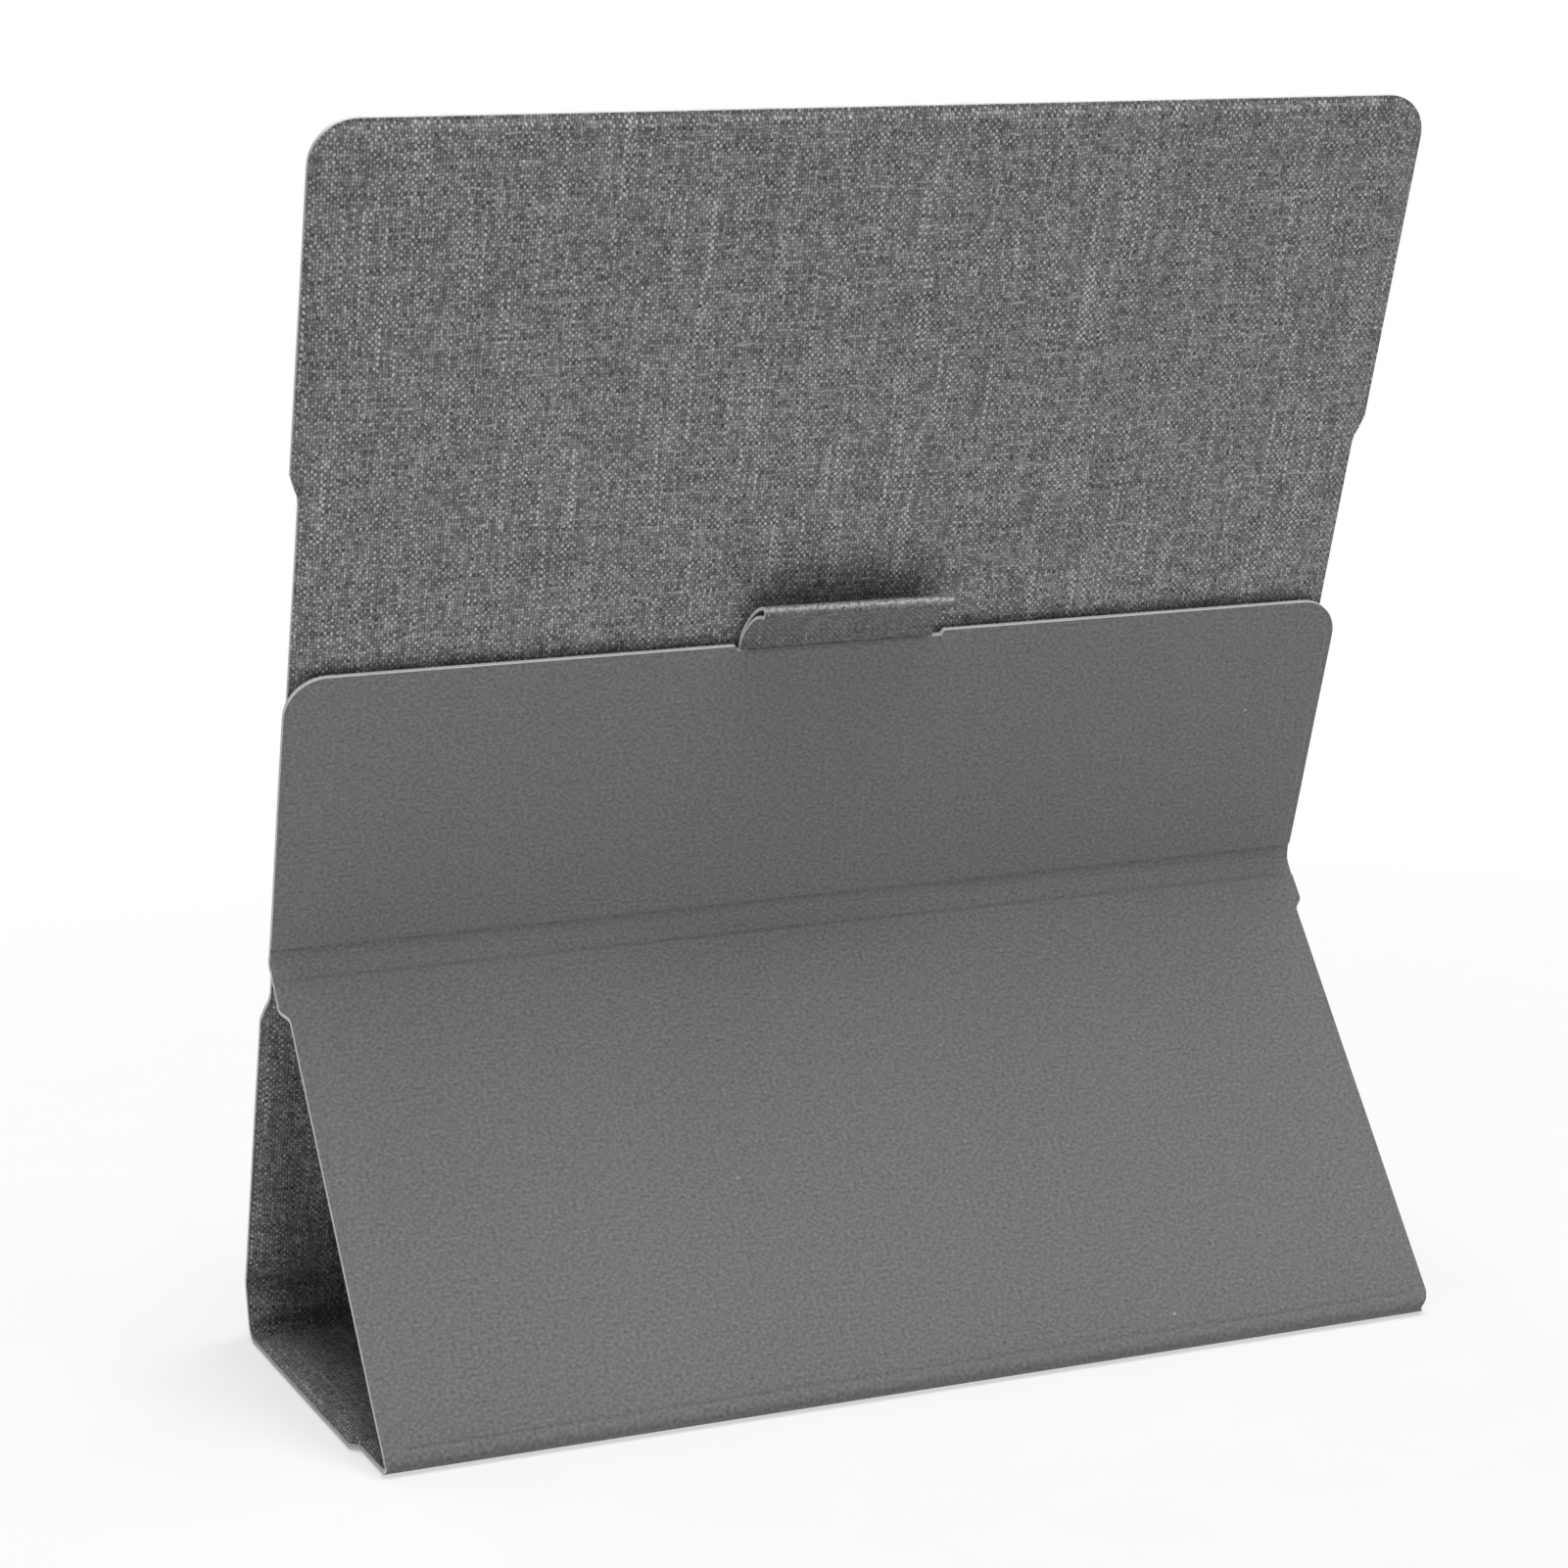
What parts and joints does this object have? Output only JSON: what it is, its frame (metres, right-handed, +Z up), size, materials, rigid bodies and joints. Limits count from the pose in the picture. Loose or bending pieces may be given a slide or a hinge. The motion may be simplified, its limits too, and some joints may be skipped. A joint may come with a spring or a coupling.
{
  "type": "folding tablet stand case",
  "caption": "Fold-flat tablet case in woven grey cloth, standing as an easel: a leaning back panel held up by a folded prop and flap with a pull tab.",
  "frame": {"origin": "middle of the base panel's underside, where the case rests on the table", "axes": "+X across the case, +Y to the rear (the side with the prop), +Z up"},
  "size_m": [0.165, 0.069, 0.1805],
  "materials": {
    "fabric": "heathered mid-grey plain weave",
    "lining": "smooth grey microfibre",
    "board": "stiff grey board",
    "magnet": "nickel-plated magnet",
    "steel": "thin steel plate",
    "tab_cloth": "heathered mid-grey plain weave with pale cut edges"
  },
  "bodies": {
    "base": {"base_fabric": "fabric", "base_board": "board", "base_lining": "lining", "spine_fold_fabric": "fabric", "spine_fold_lining": "lining", "stand_fold_fabric": "fabric", "stand_fold_lining": "lining"},
    "spine": {"spine_fabric": "fabric", "spine_board": "board", "spine_lining": "lining", "back_fold_fabric": "fabric", "back_fold_lining": "lining"},
    "back": {"back_fabric": "fabric", "back_board": "board", "back_lining": "lining", "back_tablet_magnets": "magnet", "back_keeper_plates": "steel"},
    "prop": {"prop_fabric": "fabric", "prop_board": "board", "prop_lining": "lining", "flap_fold_fabric": "fabric", "flap_fold_lining": "lining"},
    "flap": {"flap_fabric": "fabric", "flap_board": "board", "flap_lining": "lining", "flap_magnets": "magnet", "tab_anchor": "tab_cloth"},
    "tab": {"tab_loop": "tab_cloth", "tab_magnet": "magnet"}
  },
  "joints": [
    {"name": "spine_fold", "type": "hinge", "parent": "base", "child": "spine", "pos_m": [0, -0.03351, 0.0012], "axis": [1, 0, 0], "range_deg": [0, 171.3], "deforming": ["spine_fold_fabric", "spine_fold_lining"]},
    {"name": "back_fold", "type": "hinge", "parent": "spine", "child": "back", "pos_m": [0, -0.0352, 0.00872], "axis": [1, 0, 0], "range_deg": [0, 119.55], "deforming": ["back_fold_fabric", "back_fold_lining"]},
    {"name": "stand_fold", "type": "hinge", "parent": "base", "child": "prop", "pos_m": [0, 0.03273, 0.00124], "axis": [-1, 0, 0], "range_deg": [0, 126.7], "deforming": ["stand_fold_fabric", "stand_fold_lining"]},
    {"name": "flap_fold", "type": "hinge", "parent": "prop", "child": "flap", "pos_m": [0, -0.01162, 0.06218], "axis": [1, 0, 0], "range_deg": [0, 57.68], "deforming": ["flap_fold_fabric", "flap_fold_lining"]},
    {"name": "tab_fold", "type": "hinge", "parent": "flap", "child": "tab", "pos_m": [0, 0.00408, 0.10461], "axis": [-1, 0, 0], "range_deg": [-15, 45]}
  ],
  "couplings": [
    {"joint": "flap_fold", "follows": "stand_fold", "ratio": 0.4552}
  ]
}
